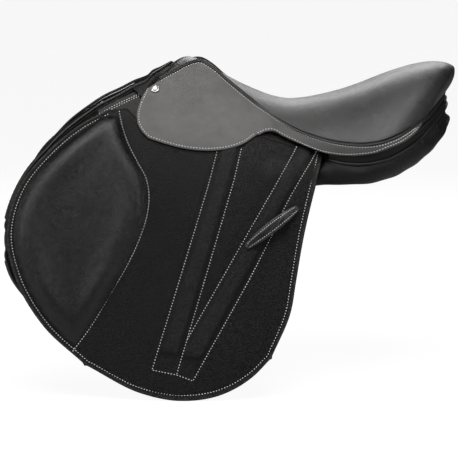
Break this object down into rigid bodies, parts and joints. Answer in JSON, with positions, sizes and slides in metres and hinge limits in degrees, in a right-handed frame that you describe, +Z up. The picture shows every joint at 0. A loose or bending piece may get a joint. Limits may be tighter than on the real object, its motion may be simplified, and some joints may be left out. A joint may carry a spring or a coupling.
{
  "type": "jumping saddle",
  "caption": "Close-contact jumping saddle: padded seat on a tree, skirts over hinged forward flaps with knee pads, stuffed panels, stirrup bars with catches and girth straps.",
  "frame": {"origin": "on the centre plane at the height of the panels' bearing line, beneath the lowest point of the seat", "axes": "+X towards the cantle, +Y towards the rider's right (off) side, +Z up"},
  "size_m": [0.6398, 0.4222, 0.4584],
  "materials": {
    "leather": "grained, satin, light grey stitching",
    "soft_leather": "smooth, soft sheen",
    "strap_leather": "smooth, matt",
    "foam": "open",
    "beech": "laminated, matt",
    "webbing": "woven",
    "steel": "plain",
    "chrome": "polished"
  },
  "bodies": {
    "saddle": {"cantle_band": "soft_leather", "flap_head_left": "leather", "flap_head_right": "leather", "front_facing_left": "leather", "front_facing_right": "leather", "girth_web_front_left": "webbing", "girth_web_front_right": "webbing", "girth_web_rear_left": "webbing", "girth_web_rear_right": "webbing", "head_plate": "steel", "panel_left": "soft_leather", "panel_right": "soft_leather", "saddle_nail_left": "chrome", "saddle_nail_right": "chrome", "seat_cover": "soft_leather", "seat_foam": "foam", "seat_webs": "webbing", "skirt_top_left": "leather", "skirt_top_right": "leather", "stirrup_bar_left": "steel", "stirrup_bar_right": "steel", "sweat_flap_left": "leather", "sweat_flap_right": "leather", "tree_head": "beech", "tree_point_left": "beech", "tree_point_right": "beech", "tree_rails": "beech"},
    "flap_left": {"flap_left": "leather", "knee_pad_left": "soft_leather", "leather_keeper_left": "strap_leather"},
    "skirt_left": {"skirt_left": "leather"},
    "catch_left": {"bar_catch_left": "steel"},
    "strap_front_left": {"girth_strap_front_left": "strap_leather"},
    "strap_rear_left": {"girth_strap_rear_left": "strap_leather"},
    "flap_right": {"flap_right": "leather", "knee_pad_right": "soft_leather", "leather_keeper_right": "strap_leather"},
    "skirt_right": {"skirt_right": "leather"},
    "catch_right": {"bar_catch_right": "steel"},
    "strap_front_right": {"girth_strap_front_right": "strap_leather"},
    "strap_rear_right": {"girth_strap_rear_right": "strap_leather"}
  },
  "joints": [
    {"name": "flap_lift_left", "type": "hinge", "parent": "saddle", "child": "flap_left", "pos_m": [-0.08975, -0.11, 0.0628], "axis": [-0.9548, 0.1141, 0.2745], "range_deg": [0, 80]},
    {"name": "skirt_lift_left", "type": "hinge", "parent": "flap_left", "child": "skirt_left", "pos_m": [-0.08975, -0.11, 0.0628], "axis": [-0.9548, 0.1141, 0.2745], "range_deg": [0, 60]},
    {"name": "catch_turn_left", "type": "hinge", "parent": "saddle", "child": "catch_left", "pos_m": [-0.11285, -0.11259, 0.05624], "axis": [0.0625, -0.8257, 0.5606], "range_deg": [0, 70]},
    {"name": "strap_swing_front_left", "type": "hinge", "parent": "saddle", "child": "strap_front_left", "pos_m": [-0.10009, -0.13315, 0.00113], "axis": [0.0573, 0.9768, -0.2065], "range_deg": [-1, 4]},
    {"name": "strap_swing_rear_left", "type": "hinge", "parent": "saddle", "child": "strap_rear_left", "pos_m": [0.00538, -0.12839, 0.0037], "axis": [0.0101, 0.9767, -0.2145], "range_deg": [-4, 1]},
    {"name": "flap_lift_right", "type": "hinge", "parent": "saddle", "child": "flap_right", "pos_m": [-0.08975, 0.11, 0.0628], "axis": [0.9548, 0.1141, -0.2745], "range_deg": [0, 80]},
    {"name": "skirt_lift_right", "type": "hinge", "parent": "flap_right", "child": "skirt_right", "pos_m": [-0.08975, 0.11, 0.0628], "axis": [0.9548, 0.1141, -0.2745], "range_deg": [0, 60]},
    {"name": "catch_turn_right", "type": "hinge", "parent": "saddle", "child": "catch_right", "pos_m": [-0.11285, 0.11259, 0.05624], "axis": [-0.0625, -0.8257, -0.5606], "range_deg": [0, 70]},
    {"name": "strap_swing_front_right", "type": "hinge", "parent": "saddle", "child": "strap_front_right", "pos_m": [-0.10009, 0.13315, 0.00113], "axis": [-0.0573, 0.9768, 0.2065], "range_deg": [-1, 4]},
    {"name": "strap_swing_rear_right", "type": "hinge", "parent": "saddle", "child": "strap_rear_right", "pos_m": [0.00538, 0.12839, 0.0037], "axis": [-0.0101, 0.9767, 0.2145], "range_deg": [-4, 1]}
  ]
}
